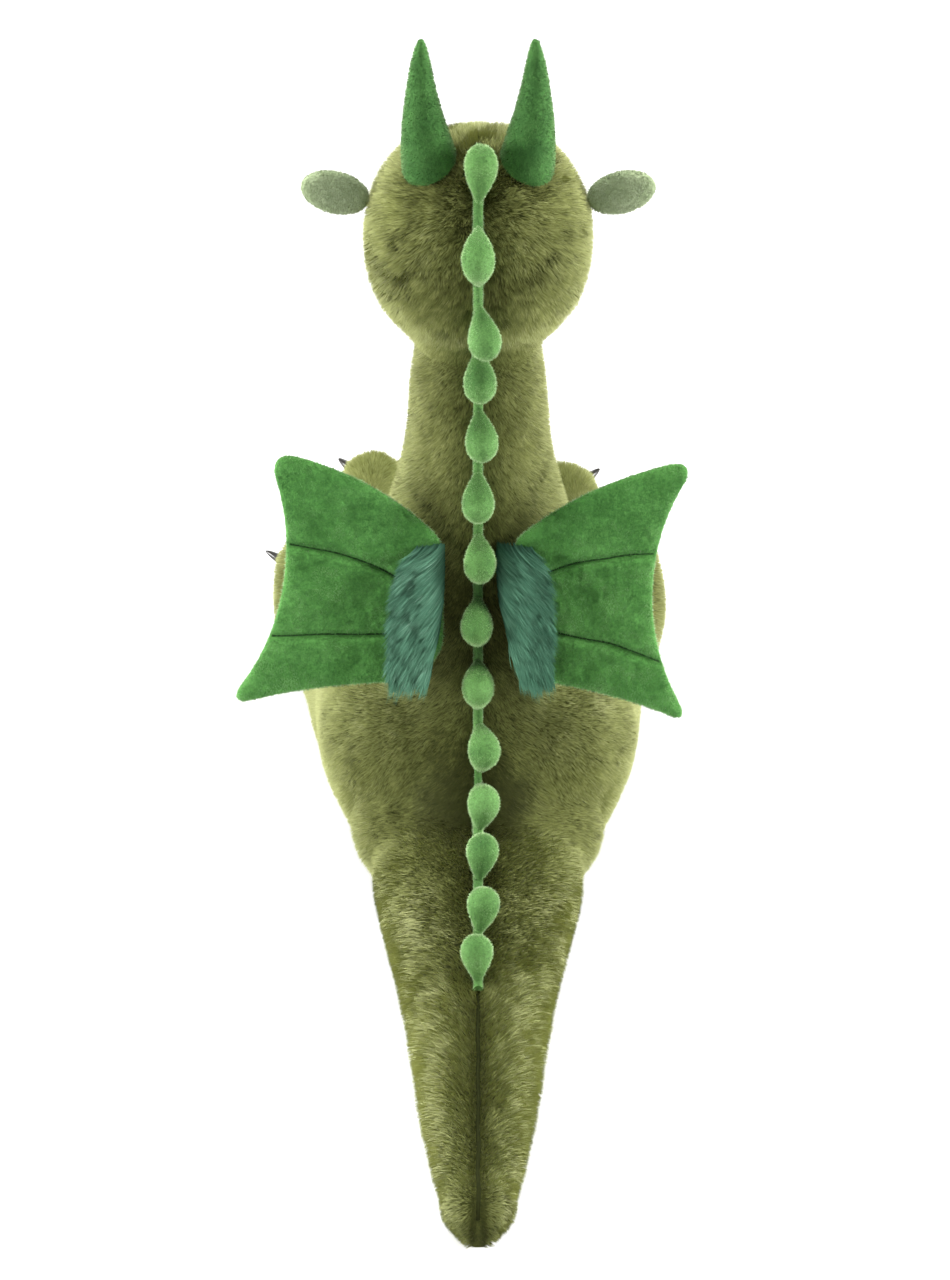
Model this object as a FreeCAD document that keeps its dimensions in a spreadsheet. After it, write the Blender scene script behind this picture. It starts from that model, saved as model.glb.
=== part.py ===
import FreeCAD, Part
import math
import os

# A seated plush dragon, made of sewn covers round stuffing.
# It faces -Y, its tail lies along +Y and its left side is +X. The origin is on the floor,
# in the middle of the seat. A cover is as thick as the cloth with its pile pressed half down.

os.makedirs("parts", exist_ok=True)
doc = FreeCAD.newDocument("plush_dragon")
sheet = doc.addObject("Spreadsheet::Sheet", "Sizes")

# ---------------------------------------------------------------- driving dimensions

# Torso and neck: height, half width, front, back of each oval, from the seat to the neck seam.
# A height below zero is taken down from the middle of the head.
TORSO = {
    "seat": (0, 42, -48, 66),
    "base": (22, 54, -68, 102),
    "hip": (66, 58, -76, 112),
    "waist": (108, 58, -74, 93),
    "belly": (150, 57.5, -70, 68),
    "ribs": (190, 58, -62, 53),
    "shoulder": (233, 50, -54, 41),
    "neck": (-119, 40, -48, 34),
    "collar": (-69, 35, -44, 31),
}

# Tail: distance behind the origin, half width and half height of each oval. It lies on the floor.
TAIL = {
    "root": (56, 48, 44),
    "rump": (94, 60, 44),
    "swell": (132, 55, 40),
    "thick": (190, 42, 29),
    "middle": (250, 34, 24),
    "thin": (310, 27, 20),
    "end": (352, 19, 15),
    "tip": (372, 7, 6),
}

# Leg: distance ahead of the origin, half width and half height of each oval, from the back of
# the haunch to the sole.
LEG = {
    "back": (-56, 6, 14),
    "rump": (-42, 12, 40),
    "haunch": (0, 17, 58),
    "thigh": (45, 18, 53),
    "knee": (85, 20, 35),
    "shin": (125, 23, 30),
    "ankle": (155, 28, 34),
    "foot": (178, 31, 46),
    "sole": (196, 27, 42),
}

# Arm: distance ahead of the shoulder, half width, half height, and how far the oval stands in
# towards the middle and below the shoulder.
ARM = {
    "cap": (-22, 6, 8, 0, 0),
    "shoulder": (0, 14, 21, 0, 0),
    "elbow": (35, 15, 18, 2, 6),
    "wrist": (65, 14, 14, 8, 12),
    "paw": (84, 17, 16, 11, 11),
    "knuckle": (98, 10, 10, 12, 8),
}

# Muzzle: distance ahead of the origin, half width and half height of each oval.
MUZZLE = {
    "cheek": (48, 42, 33),
    "bridge": (80, 37, 29),
    "nose": (106, 32, 25),
    "lip": (119, 20, 15),
}

SIZES = {
    # cloth and stuffing
    "skin": 5.0,
    "minky": 2.4,
    "stuffing_gap": 0.3,
    "joint_gap": 0.7,
    "reach": 700.0,
    # belly and seat panels
    "belly_half_width": 27.0,
    "belly_bottom": 20.0,
    "belly_top": 300.0,
    "seat_thickness": 4.0,
    "pouch_half_width": 36.0,
    "pouch_half_depth": 44.0,
    "pouch_half_height": 20.0,
    "pouch_height": 30.0,
    "tail_lift": 1.0,
    # head
    "head_height": 403.0,
    "head_set_back": -12.0,
    "head_half_width": 62.0,
    "head_half_depth": 60.0,
    "head_half_height": 62.0,
    "head_fullness": 2.15,
    "head_crown_fullness": 2.8,
    "muzzle_drop": 17.0,
    # eyes
    "eye_radius": 8.0,
    "eye_dome": 5.0,
    "eye_shank_radius": 2.0,
    "eye_turn": 33.0,
    "eye_lift": 24.0,
    "washer_radius": 9.0,
    "washer_thickness": 2.0,
    "washer_ease": 2.0,
    # horns
    "horn_base_radius": 17.0,
    "horn_length": 95.0,
    "horn_spread": 23.0,
    "horn_set_back": 1.0,
    "horn_root_rise": 38.0,
    "horn_lean_out": 4.5,
    "horn_lean_back": 4.0,
    "horn_bow": 3.0,
    # ears
    "ear_length": 38.0,
    "ear_height": 25.0,
    "ear_thickness": 8.0,
    "ear_root_rise": 22.0,
    "ear_tilt": 18.0,
    # crest
    "spike_first_pitch": 42.5,
    "spike_last_pitch": 33.0,
    "spike_width": 17.5,
    "spike_rise": 25.0,
    "strip_width": 5.5,
    "strip_rise": 4.0,
    "strip_sink": 6.0,
    "crest_start": 10.0,
    # wings
    "wing_root": 90.0,
    "wing_top_reach": 98.0,
    "wing_top_rise": 45.0,
    "wing_bottom_reach": 106.0,
    "wing_stretch_left": 7.0,
    "wing_stretch_right": -5.5,
    "wing_peak_left": 0.0,
    "wing_peak_right": 5.0,
    "wing_bottom_rise": -91.0,
    "wing_waist_reach": 83.0,
    "wing_waist_rise": -20.0,
    "wing_brow_reach": 46.0,
    "wing_brow_rise": 40.0,
    "wing_hem_reach": 58.0,
    "wing_hem_rise": -86.0,
    "wing_thickness": 7.0,
    "wing_spread": 20.0,
    "wing_root_height": 236.0,
    "wing_sweep": 8.0,
    "wing_roll_left": 2.5,
    "wing_roll_right": -3.0,
    "tuft_width": 38.0,
    "tuft_length": 84.0,
    "tuft_rise": 8.0,
    # legs and arms
    "leg_fullness": 2.1,
    "leg_haunch_lift": 12.0,
    "leg_splay_left": 5.0,
    "leg_splay_right": -6.5,
    "toe_roll_left": 18.0,
    "toe_roll_right": -4.0,
    "sole_thickness": 3.0,
    "arm_height": 191.0,
    "arm_ahead": 12.0,
    "arm_turn_left": 0.0,
    "arm_turn_right": 9.0,
    "arm_droop_left": -5.0,
    "arm_droop_right": 1.0,
    # claws
    "claw_radius": 3.2,
    "claw_length": 12.0,
    "claw_sink": 4.0,
}

# How much of a side's stretch or peak each point of the wing's outline takes.
STRETCH_SHARES = {"bottom": 1.0, "waist": 0.7}
PEAK_SHARES = {"top": 1.0, "brow": 0.5}

SPINE_STEPS = 6
STRIP_STEPS = 4
SPIKE_SHARE = 0.64
TOE_TURNS = (-18, 18, 54)
FINGER_TURNS = (-45, 0, 45)
TOE_REACH = 0.55
CLAW_FULLNESS = 0.95
CLAW_BLUNTNESS = 0.4
RING_POINTS = 16
SIDES = {"left": 1, "right": -1}


def fill_sheet():
    """Write every driving dimension into the sheet, one named cell each."""
    cells = dict(SIZES)
    groups = {
        "torso": (TORSO, ("height", "half_width", "front", "back")),
        "tail": (TAIL, ("behind", "half_width", "half_height")),
        "leg": (LEG, ("ahead", "half_width", "half_height")),
        "arm": (ARM, ("ahead", "half_width", "half_height", "inset", "drop")),
        "muzzle": (MUZZLE, ("ahead", "half_width", "half_height")),
    }
    for group, (rows, columns) in groups.items():
        for row, values in rows.items():
            for column, value in zip(columns, values):
                cells[f"{group}_{row}_{column}"] = value
    for line, (name, value) in enumerate(cells.items(), start=1):
        sheet.set(f"A{line}", name)
        sheet.set(f"B{line}", str(value))
        sheet.setAlias(f"B{line}", name)
    doc.recompute()


def size(name):
    """A driving dimension, read from the sheet."""
    return float(sheet.get(name))


def torso_height(row):
    """How high one of the torso's ovals is."""
    height = size(f"torso_{row}_height")
    return height + size("head_height") if height < 0 else height


# ---------------------------------------------------------------- small builders

def vector(x, y, z):
    return FreeCAD.Vector(x, y, z)


X_AXIS = vector(1, 0, 0)
Y_AXIS = vector(0, 1, 0)
Z_AXIS = vector(0, 0, 1)


def bulge(value, fullness):
    """A sine or cosine swollen towards the corners of its box: 2 keeps an ellipse."""
    return math.copysign(abs(value) ** (2 / fullness), value)


def oval(center, across, up, half_across, half_up, fullness=2.0):
    """A closed oval wire. Its halves may be in any ratio, which Part::Ellipse refuses."""
    points = []
    for step in range(RING_POINTS):
        angle = 2 * math.pi * step / RING_POINTS
        along = half_across * bulge(math.cos(angle), fullness)
        rise = half_up * bulge(math.sin(angle), fullness)
        points.append(center + across * along + up * rise)
    curve = Part.BSplineCurve()
    curve.interpolate(Points=points, PeriodicFlag=True)
    return Part.Wire(curve.toShape())


def feature(label, shape, placement=None):
    """A document object that holds a shape worked out here."""
    item = doc.addObject("Part::Feature", label)
    item.Shape = shape
    if placement is not None:
        item.Placement = placement
    return item


def loft(label, wires):
    """A closed solid through the wires."""
    return feature(label, Part.makeLoft(wires, True, False))


def boolean(kind, label, base, tool):
    """A boolean of two objects. Refining it would break the seams of the lofts."""
    item = doc.addObject(f"Part::{kind}", label)
    item.Base = base
    item.Tool = tool
    item.Refine = False
    return item


def cut(label, base, tool):
    return boolean("Cut", label, base, tool)


def common(label, base, tool):
    return boolean("Common", label, base, tool)


def primitive(kind, label, **expressions):
    """A Part primitive whose sizes and place are bound to the sheet."""
    item = doc.addObject(f"Part::{kind}", label)
    for name, expression in expressions.items():
        target = {"x": "Placement.Base.x", "y": "Placement.Base.y", "z": "Placement.Base.z"}.get(name, name)
        item.setExpression(target, expression)
    return item


# ---------------------------------------------------------------- lofted soft forms

def torso_wires(shrink=0.0, floor=0.0, roof=0.0):
    """The torso's ovals, made smaller all round by shrink, from floor up to roof below the collar."""
    top = torso_height("collar") - roof
    wires = []
    for row in TORSO:
        height = max(torso_height(row), floor)
        front = size(f"torso_{row}_front") + shrink
        back = size(f"torso_{row}_back") - shrink
        center = vector(0, (front + back) / 2, min(height, top))
        half_width = size(f"torso_{row}_half_width") - shrink
        wires.append(oval(center, X_AXIS, Y_AXIS, half_width, (back - front) / 2))
    return wires


def head_wires(shrink=0.0, roof=0.0):
    """The head's ovals: an egg that narrows to the neck's collar."""
    collar = torso_height("collar")
    collar_front = size("torso_collar_front") + shrink
    collar_back = size("torso_collar_back") - shrink
    center = vector(0, (collar_front + collar_back) / 2, collar + roof)
    half_depth = (collar_back - collar_front) / 2
    wires = [oval(center, X_AXIS, Y_AXIS, size("torso_collar_half_width") - shrink, half_depth)]
    half_height = size("head_half_height") - shrink
    for lift in (-38, -12, 15, 38, 58, 74, 84):
        turn = math.radians(lift)
        center = vector(0, size("head_set_back"), size("head_height") + half_height * math.sin(turn))
        share = bulge(math.cos(turn), size("head_crown_fullness"))
        half_width = (size("head_half_width") - shrink) * share
        half_depth = (size("head_half_depth") - shrink) * math.cos(turn)
        wires.append(oval(center, X_AXIS, Y_AXIS, half_width, half_depth, size("head_fullness")))
    return wires


def tail_wires(shrink=0.0, extra=0.0):
    """The tail's ovals, which all lie on the floor. The first may start further back by extra."""
    wires = []
    for row in TAIL:
        half_height = size(f"tail_{row}_half_height")
        behind = size(f"tail_{row}_behind")
        if row == "root":
            behind += extra
        if row == "tip":
            behind -= shrink
        center = vector(0, behind, size("tail_lift") + half_height)
        half_width = size(f"tail_{row}_half_width")
        share = 0.6 if row == "tip" and shrink else 1.0
        wires.append(oval(center, X_AXIS, Z_AXIS, (half_width - min(shrink, half_width * 0.5)) * share,
                          (half_height - min(shrink, half_height * 0.5)) * share))
    return wires


def leg_wires(side, shrink=0.0):
    """The leg's ovals. The haunch stands a joint gap off the hip, and the shin turns outward."""
    sign = SIDES[side]
    inner = size("torso_hip_half_width") + size("joint_gap")
    haunch = size("leg_haunch_ahead")
    sole = size("leg_sole_ahead")
    wires = []
    for row in LEG:
        ahead = size(f"leg_{row}_ahead")
        half_width = size(f"leg_{row}_half_width")
        half_height = size(f"leg_{row}_half_height")
        center_height = size("leg_haunch_half_height") + size("leg_haunch_lift")
        splay = 0.0
        if ahead > haunch:
            center_height = half_height + size("tail_lift")
            splay = size(f"leg_splay_{side}") * ((ahead - haunch) / (sole - haunch)) ** 1.5
        middle = inner + half_width + splay
        if row == "back":
            ahead += shrink
        if row == "sole":
            ahead -= shrink
        center = vector(sign * middle, -ahead, center_height)
        wires.append(oval(center, X_AXIS, Z_AXIS, half_width - min(shrink, half_width * 0.5),
                          half_height - min(shrink, half_height * 0.5), size("leg_fullness")))
    return wires


def arm_wires(side, shrink=0.0):
    """The arm's ovals. The shoulder stands a joint gap off the ribs, and the paw turns inward and down."""
    sign = SIDES[side]
    inner = size("torso_ribs_half_width") + size("joint_gap")
    wires = []
    for row in ARM:
        bend = (max(size(f"arm_{row}_ahead"), 0) / size("arm_paw_ahead")) ** 2
        ahead = size(f"arm_{row}_ahead") + size("arm_ahead")
        half_width = size(f"arm_{row}_half_width")
        half_height = size(f"arm_{row}_half_height")
        inset = size(f"arm_{row}_inset") + size(f"arm_turn_{side}") * bend
        drop = size(f"arm_{row}_drop") + size(f"arm_droop_{side}") * bend
        middle = inner + size("arm_shoulder_half_width") - inset
        if row == "cap":
            ahead += shrink
        if row == "knuckle":
            ahead -= shrink
        center = vector(sign * middle, -ahead, size("arm_height") - drop)
        wires.append(oval(center, X_AXIS, Z_AXIS, half_width - min(shrink, half_width * 0.5),
                          half_height - min(shrink, half_height * 0.5)))
    return wires


def muzzle_wires(shrink=0.0):
    wires = []
    for row in MUZZLE:
        ahead = size(f"muzzle_{row}_ahead")
        if row == "lip":
            ahead -= shrink
        center = vector(0, -ahead, size("head_height") - size("muzzle_drop"))
        wires.append(oval(center, X_AXIS, Z_AXIS, size(f"muzzle_{row}_half_width") - shrink,
                          size(f"muzzle_{row}_half_height") - shrink))
    return wires


# ---------------------------------------------------------------- body, tail and head

def build_bodies():
    """The solids that the covers are cut from: outsides, insides and stuffing."""
    skin = size("skin")
    gap = size("stuffing_gap")
    seat = size("seat_thickness")
    return {
        "torso": loft("torso_outside", torso_wires()),
        "torso_inside": loft("torso_inside", torso_wires(skin, seat)),
        "torso_core": loft("torso_core", torso_wires(skin + gap, seat + gap, gap)),
        "torso_clear": loft("torso_clear", torso_wires(-size("joint_gap"))),
        "tail": loft("tail_outside", tail_wires()),
        "tail_inside": loft("tail_inside", tail_wires(skin)),
        "tail_core": loft("tail_core", tail_wires(skin + gap)),
        "head": loft("head_outside", head_wires()),
        "head_inside": loft("head_inside", head_wires(skin)),
        "head_core": loft("head_core", head_wires(skin + gap, gap)),
        "head_clear": loft("head_clear", head_wires(-size("joint_gap"))),
        "muzzle": loft("muzzle_outside", muzzle_wires()),
        "muzzle_inside": loft("muzzle_inside", muzzle_wires(size("minky"))),
        "muzzle_core": loft("muzzle_core", muzzle_wires(size("minky") + gap)),
    }


def half_space(side):
    """A large box over one side of the toy."""
    x = "0" if side == "left" else "-Sizes.reach"
    return primitive("Box", f"{side}_side", x=x, y="-Sizes.reach", z="-Sizes.reach",
                     Length="Sizes.reach", Width="2 * Sizes.reach", Height="2 * Sizes.reach")


def build_torso(solids, halves):
    """Two back and side panels, a belly panel, a seat panel, the stuffing and the pellet pouch."""
    seat_slab = primitive("Box", "seat_slab", x="-Sizes.reach", y="-Sizes.reach", z="0",
                          Length="2 * Sizes.reach", Width="2 * Sizes.reach", Height="Sizes.seat_thickness")
    belly_slab = primitive("Box", "belly_slab", x="-Sizes.belly_half_width", y="-Sizes.reach",
                           z="Sizes.belly_bottom", Length="2 * Sizes.belly_half_width",
                           Width="Sizes.reach", Height="Sizes.belly_top - Sizes.belly_bottom")
    hollow = cut("torso_hollow", solids["torso"], solids["torso_inside"])
    cover = cut("torso_cover", hollow, seat_slab)
    open_cover = cut("torso_open_cover", cover, solids["tail_inside"])
    sides = cut("torso_sides", open_cover, belly_slab)
    pouch_hole = primitive("Ellipsoid", "pouch_hole", z="Sizes.pouch_height",
                           Radius1="Sizes.pouch_half_height + Sizes.stuffing_gap",
                           Radius2="Sizes.pouch_half_width + Sizes.stuffing_gap",
                           Radius3="Sizes.pouch_half_depth + Sizes.stuffing_gap")
    pouch = primitive("Ellipsoid", "bean_pouch", z="Sizes.pouch_height",
                      Radius1="Sizes.pouch_half_height", Radius2="Sizes.pouch_half_width",
                      Radius3="Sizes.pouch_half_depth")
    return [
        common("body_panel_left", sides, halves["left"]),
        common("body_panel_right", sides, halves["right"]),
        common("belly_panel", open_cover, belly_slab),
        common("seat_panel", solids["torso"], seat_slab),
        cut("body_filling", solids["torso_core"], pouch_hole),
        pouch,
    ]


def build_tail(solids, halves):
    """Two panels that meet along the top and bottom of the tail, and the stuffing."""
    hollow = cut("tail_hollow", solids["tail"], solids["tail_inside"])
    cover = cut("tail_cover", hollow, solids["torso"])
    return [
        common("tail_panel_left", cover, halves["left"]),
        common("tail_panel_right", cover, halves["right"]),
        cut("tail_filling", solids["tail_core"], solids["torso"]),
    ]


def eye_place(head, side):
    """Where an eye's shank crosses the head's surface, and which way it points."""
    turn = math.radians(size("eye_turn")) * SIDES[side]
    lift = math.radians(size("eye_lift"))
    way = vector(math.sin(turn) * math.cos(lift), -math.cos(turn) * math.cos(lift), math.sin(lift))
    point = surface_point(head, vector(0, size("head_set_back"), size("head_height")), way)
    return FreeCAD.Placement(point, FreeCAD.Rotation(Z_AXIS, way))


def eye_shape(extra=0.0):
    """A domed eye on a shank that reaches through the cover into its washer."""
    radius = size("eye_radius")
    dome = size("eye_dome")
    ball = (radius ** 2 + dome ** 2) / (2 * dome)
    cap = Part.makeSphere(ball, vector(0, 0, dome - ball)).common(
        Part.makeCylinder(radius + 1, dome + 1, vector(0, 0, 0)))
    shank_length = size("skin") + size("washer_thickness") + 3
    shank = Part.makeCylinder(size("eye_shank_radius") + extra, shank_length + 0.5, vector(0, 0, -shank_length))
    return cap.fuse(shank).removeSplitter()


def build_head(solids, halves):
    """Two panels, the muzzle's cover, the stuffing of both, and the eyes with their washers."""
    gap = size("stuffing_gap")
    hollow = cut("head_hollow", solids["head"], solids["head_inside"])
    holes = []
    pockets = []
    eyes = []
    washers = []
    for side in SIDES:
        place = eye_place(solids["head"], side)
        under = -size("skin") - size("washer_thickness") - size("washer_ease")
        hole = Part.makeCylinder(size("eye_shank_radius") + 0.1, 60, vector(0, 0, -30))
        seat = Part.makeCylinder(size("eye_radius") + 0.1, 60, vector(0, 0, -0.1))
        hole = hole.fuse(seat)
        hole.Placement = place
        holes.append(hole)
        eyes.append(feature(f"eye_{side}", eye_shape(), place))
        ring = Part.makeCylinder(size("washer_radius"), size("washer_thickness"), vector(0, 0, under))
        ring = ring.cut(Part.makeCylinder(size("eye_shank_radius") + 0.1, 40, vector(0, 0, -20)))
        ring.Placement = place
        washers.append(ring)
        pocket = Part.makeCylinder(size("washer_radius") + gap, 40, vector(0, 0, under - 3))
        pocket.Placement = place
        pockets.append(pocket)
    eye_holes = feature("eye_holes", Part.makeCompound(holes))
    eye_pockets = feature("eye_pockets", Part.makeCompound(pockets))
    cover = cut("head_cover", hollow, eye_holes)
    head_filling = cut("head_filling", solids["head_core"], eye_pockets)
    muzzle_hollow = cut("muzzle_hollow", solids["muzzle"], solids["muzzle_inside"])
    return eyes + [
        common("head_panel_left", cover, halves["left"]),
        common("head_panel_right", cover, halves["right"]),
        head_filling,
        cut("muzzle_cover", muzzle_hollow, solids["head"]),
        cut("muzzle_filling", solids["muzzle_core"], solids["head"]),
        feature("eye_washers", Part.makeCompound(washers)),
    ]


# ---------------------------------------------------------------- surface finders

def surface_point(solid, start, way):
    """Where a straight line from inside a solid leaves it for good."""
    line = Part.makeLine(start, start + way * size("reach"))
    inside = line.common(solid.Shape)
    return max((vertex.Point for vertex in inside.Vertexes), key=lambda point: (point - start).Length)


def spine_curve(solids):
    """The line over the crown and down the back and the tail that the crest is sewn along."""
    points = []
    middle = vector(0, size("head_set_back"), size("head_height"))
    for lift in range(90, -40, -18):
        turn = math.radians(lift)
        way = vector(0, math.cos(turn), math.sin(turn))
        points.append(surface_point(solids["head"], middle, way))
    top = torso_height("collar") - size("skin")
    low = torso_height("waist") - 2 * size("skin")
    for step in range(SPINE_STEPS + 1):
        height = top + (low - top) * step / SPINE_STEPS
        points.append(surface_point(solids["torso"], vector(0, 0, height), Y_AXIS))
    near = size("tail_swell_behind") - 2 * size("skin")
    far = size("tail_middle_behind")
    for step in range(SPINE_STEPS):
        behind = near + (far - near) * step / (SPINE_STEPS - 1)
        points.append(surface_point(solids["tail"], vector(0, behind, size("skin")), Z_AXIS))
    curve = Part.BSplineCurve()
    curve.interpolate(points)
    return curve


# ---------------------------------------------------------------- crest, horns and ears

# Up a spike: share of its rise, of its width and of its length.
SPIKE_STATIONS = ((-0.18, 0.34, 1.24), (0.08, 0.4, 1.24), (0.34, 0.82, 1.12), (0.6, 1.0, 0.92),
                  (0.82, 0.8, 0.68), (0.95, 0.44, 0.38), (1.0, 0.14, 0.12))
# How far each spike leans to the toy's right, in degrees.
SPIKE_LEANS = (6, 0, 14, 4, 8, 0, 4, -3, 0, 14, 13, 10, 12, -3)


def crest_frame(curve, distance):
    """A point on the crest's line, the way along it and the way out of the back there."""
    position = curve.parameterAtDistance(distance, curve.FirstParameter)
    tangent = curve.tangent(position)[0]
    return curve.value(position), tangent, X_AXIS.cross(tangent)


def spike_wires(curve, middle, length, lean):
    """Ovals up a spike, from under the strip to its blunt tip."""
    base, tangent, outward = crest_frame(curve, middle)
    tilt = FreeCAD.Rotation(tangent, -lean)
    across = tilt.multVec(X_AXIS)
    upward = tilt.multVec(outward)
    wires = []
    for rise_share, width_share, length_share in SPIKE_STATIONS:
        center = base + upward * (size("spike_rise") * rise_share)
        wires.append(oval(center, across, tangent, size("spike_width") / 2 * width_share,
                          length / 2 * length_share))
    return wires


def strip_wires(curve, start, length):
    """Ovals across the strip that carries the spikes."""
    wires = []
    rise = size("strip_rise")
    sink = size("strip_sink")
    for step in range(STRIP_STEPS + 1):
        base, _, outward = crest_frame(curve, start + length * step / STRIP_STEPS)
        wires.append(oval(base + outward * ((rise - sink) / 2), X_AXIS, outward * -1,
                          size("strip_width") / 2, (rise + sink) / 2))
    return wires


def seated(label, whole, carriers):
    """A piece cut off where it meets the outsides that it is sewn to."""
    near = [item for item in carriers if item.Shape.BoundBox.intersect(whole.Shape.BoundBox)]
    for number, carrier in enumerate(near, start=1):
        name = label if number == len(near) else f"{label}_step_{number}"
        whole = cut(name, whole, carrier)
    return whole


def build_crest(solids):
    """A row of stuffed spikes on one strip, closer together towards the tail."""
    curve = spine_curve(solids)
    carriers = [solids["head"], solids["torso"], solids["tail"]]
    first = size("spike_first_pitch")
    last = size("spike_last_pitch")
    start = size("crest_start")
    spikes = []
    for number, lean in enumerate(SPIKE_LEANS, start=1):
        pitch = first + (last - first) * (number - 1) / (len(SPIKE_LEANS) - 1)
        strip = loft(f"strip_{number:02d}", strip_wires(curve, start, pitch))
        spike = loft(f"spike_{number:02d}", spike_wires(curve, start + pitch / 2, pitch * SPIKE_SHARE, lean))
        whole = boolean("Fuse", f"spike_whole_{number:02d}", strip, spike)
        doc.recompute([whole])
        spikes.append(seated(f"crest_spike_{number:02d}", whole, carriers))
        start += pitch
    return spikes


def horn_wires(side, shrink=0.0):
    """Circles up a horn that leans out and back and bows outward."""
    sign = SIDES[side]
    out = math.radians(size("horn_lean_out"))
    back = math.radians(size("horn_lean_back"))
    way = vector(sign * math.sin(out), math.sin(back), math.cos(out) * math.cos(back))
    way.normalize()
    across = way.cross(Y_AXIS)
    across.normalize()
    root = vector(sign * size("horn_spread"), size("horn_set_back"), size("head_height") + size("horn_root_rise"))
    wires = []
    for share in (0.0, 0.25, 0.5, 0.72, 0.9, 1.0):
        radius = size("horn_base_radius") * (1 - 0.86 * share ** 1.15)
        if share == 1.0:
            radius *= 0.6
        bow = size("horn_bow") * math.sin(math.pi * share)
        length = (size("horn_length") - shrink) * share
        center = root + way * length + X_AXIS * (sign * bow)
        wires.append(oval(center, across, way.cross(across), max(radius - shrink, radius * 0.4),
                          max(radius - shrink, radius * 0.4)))
    return wires


def build_horns(solids):
    """Stuffed horns, sewn to the crown."""
    pieces = []
    for side in SIDES:
        outside = loft(f"horn_outside_{side}", horn_wires(side))
        inside = loft(f"horn_inside_{side}", horn_wires(side, size("minky")))
        core = loft(f"horn_core_{side}", horn_wires(side, size("minky") + size("stuffing_gap")))
        hollow = cut(f"horn_hollow_{side}", outside, inside)
        pieces.append(cut(f"horn_{side}", hollow, solids["head"]))
        pieces.append(cut(f"horn_filling_{side}", core, solids["head_clear"]))
    return pieces


def lens_half(label, center, across, up, normal, half_across, half_up, rise):
    """Half of a stuffed pad: flat on one side and crowned on the other."""
    wires = []
    for lift, share in ((0.0, 1.0), (0.45, 0.93), (0.8, 0.72), (1.0, 0.4)):
        wires.append(oval(center + normal * (rise * lift), across, up, half_across * share, half_up * share))
    return loft(label, wires)


def build_ears(solids):
    """Flat oval ears, each of a back and a lining, a joint gap off the side of the head."""
    pieces = []
    tilt = math.radians(size("ear_tilt"))
    for side, sign in SIDES.items():
        across = vector(sign * math.cos(tilt), 0, math.sin(tilt))
        up = vector(-sign * math.sin(tilt), 0, math.cos(tilt))
        start = vector(0, size("head_set_back"), size("head_height") + size("ear_root_rise"))
        root = surface_point(solids["head"], start, vector(sign, 0, 0))
        center = root + across * (size("ear_length") / 2 + size("joint_gap"))
        half_across = size("ear_length") / 2
        half_up = size("ear_height") / 2
        rise = size("ear_thickness") / 2
        pieces.append(lens_half(f"ear_back_{side}", center, across, up, Y_AXIS, half_across, half_up, rise))
        pieces.append(lens_half(f"ear_lining_{side}", center, across, up, Y_AXIS * -1,
                                half_across, half_up, rise))
    return pieces


# ---------------------------------------------------------------- wings

def wing_frame(solids, side):
    """The top of a wing's root on the back, and the ways along the wing, up its root and out of it."""
    sign = SIDES[side]
    x = sign * size("wing_spread")
    top_height = size("wing_root_height")
    low_height = top_height - size("wing_root") * 0.95
    middle = vector(x, 0, 0)
    top = surface_point(solids["torso_clear"], middle + Z_AXIS * top_height, Y_AXIS)
    low = surface_point(solids["torso_clear"], middle + Z_AXIS * low_height, Y_AXIS)
    up = (top - low).normalize()
    outward = vector(sign, 0, 0)
    normal = outward.cross(up) * -sign
    sweep = FreeCAD.Rotation(up * -sign, -size("wing_sweep"))
    return top, sweep.multVec(outward), up, sweep.multVec(normal)


def wing_outline(side):
    """The wing's corners and the middle of each curved edge: along the wing and up its root."""
    roll = math.radians(size(f"wing_roll_{side}"))
    points = {"root_top": (0, 0), "root_low": (0, -size("wing_root"))}
    for name in ("top", "brow", "waist", "bottom", "hem"):
        along = size(f"wing_{name}_reach")
        along += size(f"wing_stretch_{side}") * STRETCH_SHARES.get(name, 0)
        rise = size(f"wing_{name}_rise") + size(f"wing_peak_{side}") * PEAK_SHARES.get(name, 0)
        points[name] = (along * math.cos(roll) - rise * math.sin(roll),
                        along * math.sin(roll) + rise * math.cos(roll))
    return points


def build_wings(solids):
    """Flat wings of two layers sewn to the back, each with a tuft of long pile at its root."""
    pieces = []
    layer = size("wing_thickness") / 2
    for side in SIDES:
        origin, across, up, normal = wing_frame(solids, side)
        spots = {name: origin + across * along + up * rise
                 for name, (along, rise) in wing_outline(side).items()}
        outline = Part.Wire([
            Part.makeLine(spots["root_low"], spots["root_top"]),
            Part.Arc(spots["root_top"], spots["brow"], spots["top"]).toShape(),
            Part.Arc(spots["top"], spots["waist"], spots["bottom"]).toShape(),
            Part.Arc(spots["bottom"], spots["hem"], spots["root_low"]).toShape(),
        ])
        face = Part.Face(outline)
        front = feature(f"wing_front_whole_{side}", face.extrude(normal * layer))
        back_face = face.translated(normal * layer)
        back = feature(f"wing_back_whole_{side}", back_face.extrude(normal * layer))
        half_width = size("tuft_width") / 2
        half_length = size("tuft_length") / 2
        center = origin + normal * (2 * layer) + across * half_width - up * half_length
        pieces.append(cut(f"wing_front_{side}", front, solids["torso_clear"]))
        pieces.append(cut(f"wing_back_{side}", back, solids["torso_clear"]))
        pieces.append(lens_half(f"wing_tuft_{side}", center, across, up, normal,
                                half_width, half_length, size("tuft_rise")))
    return pieces


# ---------------------------------------------------------------- arms and legs

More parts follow.
